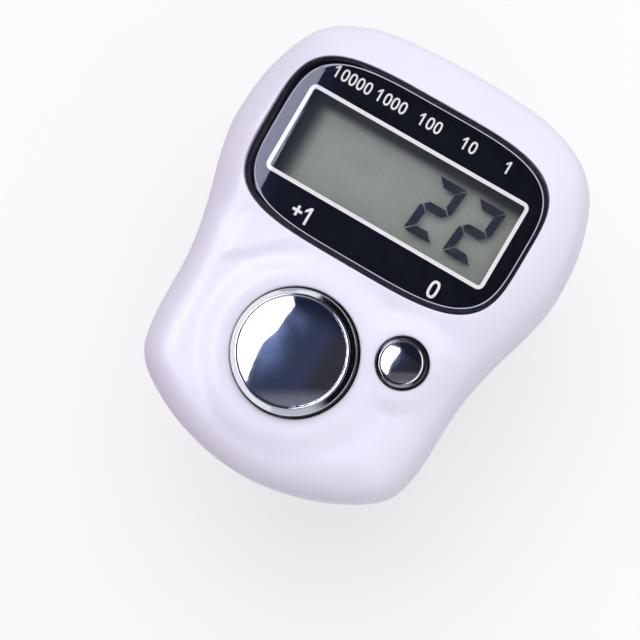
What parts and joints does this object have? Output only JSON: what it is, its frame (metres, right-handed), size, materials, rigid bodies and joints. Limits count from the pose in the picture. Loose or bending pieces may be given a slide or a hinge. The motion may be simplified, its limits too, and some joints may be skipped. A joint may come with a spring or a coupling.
{
  "type": "digital finger tally counter",
  "caption": "Pocket digital tally counter with a small display, a domed count button, a small reset button and an adjustable finger strap.",
  "frame": {"origin": "on the surface that the strap stands on, under the middle of the case (bottom centre of the bounding box)", "axes": "+Z out of the display face, +X along the line of digits, +Y from the buttons to the display"},
  "size_m": [0.03, 0.0376, 0.0307],
  "materials": {
    "case_plastic": "glossy injection-moulded ABS, lavender white",
    "chromed_plastic": "mirror-bright chromium plating on moulded ABS",
    "clear_acrylic": "clear polished acrylic",
    "mask_ink": "gloss black screen-printed film",
    "print_white": "white screen print",
    "double_tape": "black double-sided tape",
    "lcd_glass": "thin float glass",
    "polariser_film": "grey-green polarising film",
    "reflector_film": "satin grey-green reflector film",
    "lcd_dark": "dark liquid-crystal segments",
    "frame_plastic": "natural matt ABS",
    "zebra_rubber": "layered conductive silicone",
    "board_laminate": "glass-epoxy laminate with green solder mask",
    "carbon_ink": "printed carbon",
    "black_epoxy": "cast black epoxy",
    "ceramic_black": "chip resistor body",
    "ceramic_tan": "ceramic capacitor body",
    "nickel_steel": "nickel-plated steel",
    "gold_contact": "gold-flashed spring metal",
    "screw_steel": "zinc-plated steel",
    "seal_nylon": "nylon sealing ring",
    "keypad_rubber": "moulded silicone rubber",
    "strap_rubber": "soft moulded silicone rubber, satin"
  },
  "bodies": {
    "case": {"front_case": "case_plastic", "rear_case": "case_plastic", "case_screws": "screw_steel", "battery_door": "case_plastic", "door_screw": "screw_steel", "display_lens": "clear_acrylic", "lens_mask": "mask_ink", "window_line": "print_white", "lens_numbers": "print_white", "lens_tape": "double_tape", "lcd_polariser": "polariser_film", "lcd_front_glass": "lcd_glass", "lcd_segments": "lcd_dark", "lcd_rear_glass": "lcd_glass", "lcd_reflector": "reflector_film", "lcd_frame": "frame_plastic", "zebra_connector": "zebra_rubber", "circuit_board": "board_laminate", "board_screws": "screw_steel", "contact_pads": "carbon_ink", "chip_cover": "black_epoxy", "crystal_can": "nickel_steel", "board_resistors": "ceramic_black", "board_capacitors": "ceramic_tan", "cell_can": "nickel_steel", "cell_cap": "nickel_steel", "cell_seal": "seal_nylon", "positive_contact": "gold_contact", "negative_contact": "gold_contact", "keypad_sheet": "keypad_rubber", "count_web": "keypad_rubber", "reset_web": "keypad_rubber", "strap_hole_band": "strap_rubber", "strap_stud_band": "strap_rubber"},
    "count_key": {"count_button": "chromed_plastic", "count_plunger": "keypad_rubber", "count_pill": "carbon_ink"},
    "reset_key": {"reset_button": "chromed_plastic", "reset_plunger": "keypad_rubber", "reset_pill": "carbon_ink"}
  },
  "joints": [
    {"name": "count_press", "type": "slide", "parent": "case", "child": "count_key", "axis": [0, 0, -1], "range_m": [0, 0.0008], "stiffness_N_per_m": 900, "springref_m": -0.0004, "deforming": ["count_web"]},
    {"name": "reset_press", "type": "slide", "parent": "case", "child": "reset_key", "axis": [0, 0, -1], "range_m": [0, 0.0008], "stiffness_N_per_m": 700, "springref_m": -0.0004, "deforming": ["reset_web"]}
  ]
}
